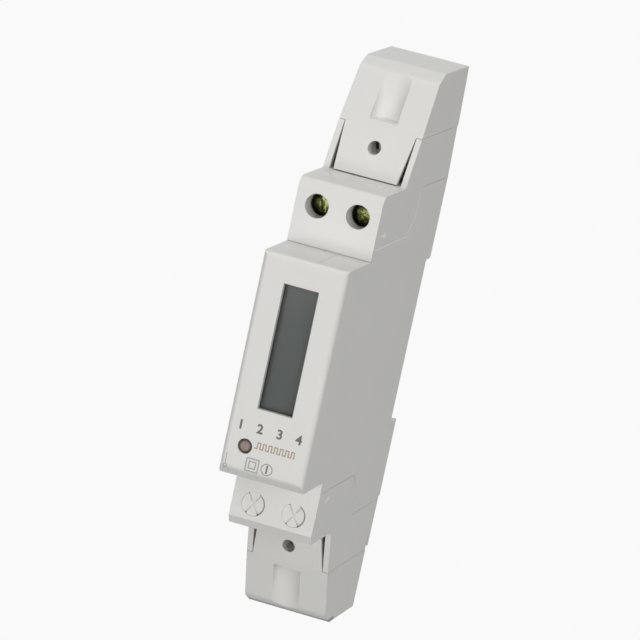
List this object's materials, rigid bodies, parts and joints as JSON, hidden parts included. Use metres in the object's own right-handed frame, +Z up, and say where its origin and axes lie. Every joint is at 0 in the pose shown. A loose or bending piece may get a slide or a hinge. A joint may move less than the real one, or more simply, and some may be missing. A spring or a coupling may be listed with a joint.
{
  "type": "din rail energy meter",
  "caption": "Narrow one-module energy meter for a rail, with a display in its nose, screw terminals on two shoulders and removable terminal covers above and below.",
  "frame": {"origin": "middle of the rail seat, on the plane that rests on the rail's front face", "axes": "+Z up along the meter's height, +Y backwards through the rail, +X to the right seen from the front"},
  "size_m": [0.018, 0.063, 0.1186],
  "materials": {
    "housing_plastic": "fine moulded texture, light grey",
    "window_plastic": "clear polished acrylic",
    "display_glass": "greenish grey liquid crystal cell",
    "lamp_resin": "tinted clear resin",
    "clamp_brass": "drawn",
    "screw_brass": "passivated",
    "shunt_copper": "rolled copper",
    "tinned_wire": "tinned",
    "board_laminate": "solder resist",
    "black_resin": "moulded",
    "capacitor_film": "potted box",
    "varistor_coating": "dipped coating",
    "capacitor_can": "sleeved can",
    "crystal_can": "drawn can",
    "spring_steel": "spring temper"
  },
  "bodies": {
    "housing": {"main_housing": "housing_plastic", "rear_base": "housing_plastic", "upper_terminal_block": "housing_plastic", "lower_terminal_block": "housing_plastic", "upper_terminal_cover": "housing_plastic", "lower_terminal_cover": "housing_plastic", "lcd_window": "window_plastic", "lcd_glass": "display_glass", "pulse_led": "lamp_resin", "line_in_clamp": "clamp_brass", "line_out_clamp": "clamp_brass", "neutral_in_clamp": "clamp_brass", "neutral_out_clamp": "clamp_brass", "line_in_screw": "screw_brass", "line_out_screw": "screw_brass", "neutral_in_screw": "screw_brass", "neutral_out_screw": "screw_brass", "current_shunt": "shunt_copper", "neutral_bar": "shunt_copper", "shunt_taps": "tinned_wire", "main_board": "board_laminate", "display_board": "board_laminate", "board_header": "black_resin", "supply_capacitor": "capacitor_film", "metering_chip": "black_resin", "microcontroller": "black_resin", "crystal": "crystal_can", "varistor": "varistor_coating", "smoothing_capacitor": "capacitor_can", "clip_spring": "spring_steel"},
    "clip": {"rail_clip": "housing_plastic"}
  },
  "joints": [
    {"name": "clip_slide", "type": "slide", "parent": "housing", "child": "clip", "axis": [0, 0, -1], "range_m": [0, 0.0035], "stiffness_N_per_m": 400, "springref_m": -0.003, "deforming": ["clip_spring"]}
  ]
}
